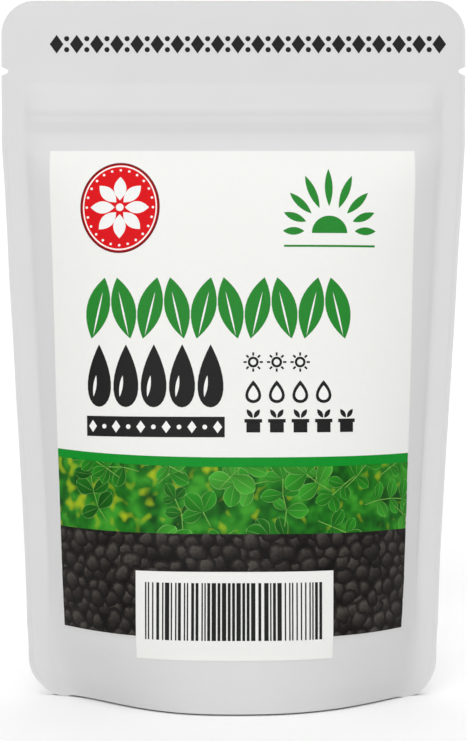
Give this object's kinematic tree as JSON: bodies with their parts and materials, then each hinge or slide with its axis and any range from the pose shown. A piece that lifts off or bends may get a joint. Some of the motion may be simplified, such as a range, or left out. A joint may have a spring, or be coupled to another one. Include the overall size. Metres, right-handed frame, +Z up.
{
  "type": "stand-up pouch",
  "caption": "Filled stand-up film pouch with side seals, tear notches, a zip, a bottom gusset, a front paper label and a bar-code sticker.",
  "frame": {"origin": "on the floor, under the middle of the pouch", "axes": "+Z up; +X to the right of someone who faces the label; the label faces -Y"},
  "size_m": [0.1016, 0.0403, 0.1524],
  "materials": {
    "film": "matte white laminate film",
    "zip": "natural polyethylene, satin",
    "label": "satin coated paper with printed inks",
    "sticker": "white thermal paper with black print",
    "seed": "dry brown-black seed husk"
  },
  "bodies": {
    "root": {"front_film": "film", "back_film": "film", "bottom_gusset": "film", "zip_rib_strip": "zip", "zip_channel_strip": "zip", "front_label": "label", "barcode_label": "sticker", "seed_fill": "seed"}
  },
  "joints": []
}
